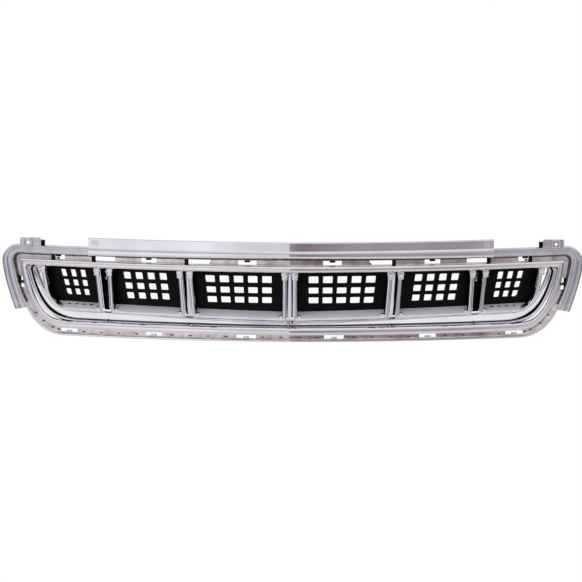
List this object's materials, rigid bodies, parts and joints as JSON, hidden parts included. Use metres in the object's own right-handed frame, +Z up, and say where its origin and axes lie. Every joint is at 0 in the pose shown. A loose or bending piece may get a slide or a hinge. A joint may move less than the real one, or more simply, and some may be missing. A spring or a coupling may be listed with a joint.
{
  "type": "front grille",
  "caption": "Wide chrome lower front grille for a car: swept-back ring with a clip groove, header and end wings round black mesh cells in chrome bezels.",
  "frame": {"origin": "midway between the two upper mounting-tab holes, on the front face of the tabs", "axes": "+X to the right of someone facing the grille, +Y back into the car, +Z up"},
  "size_m": [1.198, 0.1436, 0.204],
  "materials": {
    "bright_chrome": "bright chrome plating on moulded plastic",
    "satin_chrome": "duller grey chrome plating on moulded plastic",
    "black_mesh": "moulded black plastic with a slight sheen",
    "black_clip": "matte black nylon",
    "zinc_screw": "zinc-plated steel"
  },
  "bodies": {
    "root": {"ring_frame": "bright_chrome", "header_panel": "bright_chrome", "end_wing_left": "satin_chrome", "end_wing_right": "satin_chrome", "inner_frame": "bright_chrome", "cell_bezel_1": "bright_chrome", "cell_bezel_2": "bright_chrome", "cell_bezel_3": "bright_chrome", "cell_bezel_4": "bright_chrome", "cell_bezel_5": "bright_chrome", "cell_bezel_6": "bright_chrome", "mesh_insert_1": "black_mesh", "mesh_insert_2": "black_mesh", "mesh_insert_3": "black_mesh", "mesh_insert_4": "black_mesh", "mesh_insert_5": "black_mesh", "mesh_insert_6": "black_mesh", "slot_retainers": "black_clip", "snap_tongues": "black_clip", "lower_tongues": "satin_chrome", "side_hooks": "black_clip", "tab_clip_left": "black_clip", "tab_clip_right": "black_clip", "header_screws": "zinc_screw", "wing_screws": "zinc_screw", "frame_screws": "zinc_screw", "insert_screws": "zinc_screw"}
  },
  "joints": []
}
